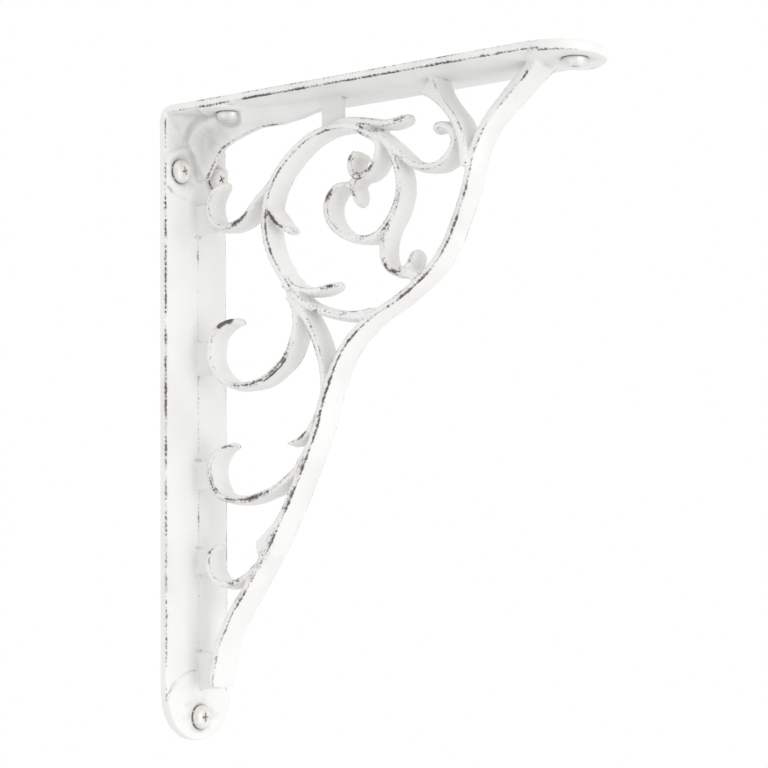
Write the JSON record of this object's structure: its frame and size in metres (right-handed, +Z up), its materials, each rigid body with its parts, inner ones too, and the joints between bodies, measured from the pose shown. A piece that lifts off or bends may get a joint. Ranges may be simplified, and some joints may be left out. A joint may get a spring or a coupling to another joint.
{
  "type": "shelf bracket",
  "caption": "Right-angle cast-iron shelf bracket with an open scrollwork brace, rounded screw lugs and cross-head fixing screws, in worn white paint.",
  "frame": {"origin": "centre of the wall plate's flat back face, half way up it", "axes": "+X out from the wall along the arm, +Y across the bracket, +Z up the wall plate towards the shelf"},
  "size_m": [0.1905, 0.038, 0.25],
  "materials": {
    "painted_iron": "soft-sheen white paint over cast iron, rubbed through to brown-grey metal along the edges",
    "zinc_steel": "pale zinc-plated steel, lightly brushed with the same white paint"
  },
  "bodies": {
    "root": {"bracket_casting": "painted_iron", "screw_wall_bottom": "zinc_steel", "screw_wall_top_near": "zinc_steel", "screw_wall_top_far": "zinc_steel", "screw_arm_corner_near": "zinc_steel", "screw_arm_corner_far": "zinc_steel", "screw_arm_end": "zinc_steel"}
  },
  "joints": []
}
